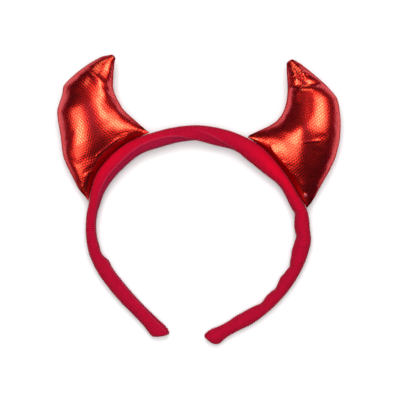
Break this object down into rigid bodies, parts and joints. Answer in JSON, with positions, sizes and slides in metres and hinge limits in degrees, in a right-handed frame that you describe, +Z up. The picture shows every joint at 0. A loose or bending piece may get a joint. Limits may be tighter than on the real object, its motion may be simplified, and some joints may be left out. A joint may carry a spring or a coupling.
{
  "type": "devil horns headband",
  "caption": "Springy fabric-covered headband with two curved, stuffed devil horns of red metallic foil cloth, lying on its side as it rests on a table.",
  "frame": {"origin": "centre of the bounding box in plan, on the surface that the headband lies on", "axes": "+X across the head from one arm to the other, +Y from the ends of the band towards the horns, +Z up from the surface, across the flat of the loop"},
  "size_m": [0.1752, 0.1794, 0.0233],
  "materials": {
    "knit_sleeve": "fine ribbed red knit, matte with a soft sheen",
    "foil_cloth": "red metallic foil on a fine knit, creased and very shiny"
  },
  "bodies": {
    "root": {"headband": "knit_sleeve", "horn_left": "foil_cloth", "horn_right": "foil_cloth"}
  },
  "joints": []
}
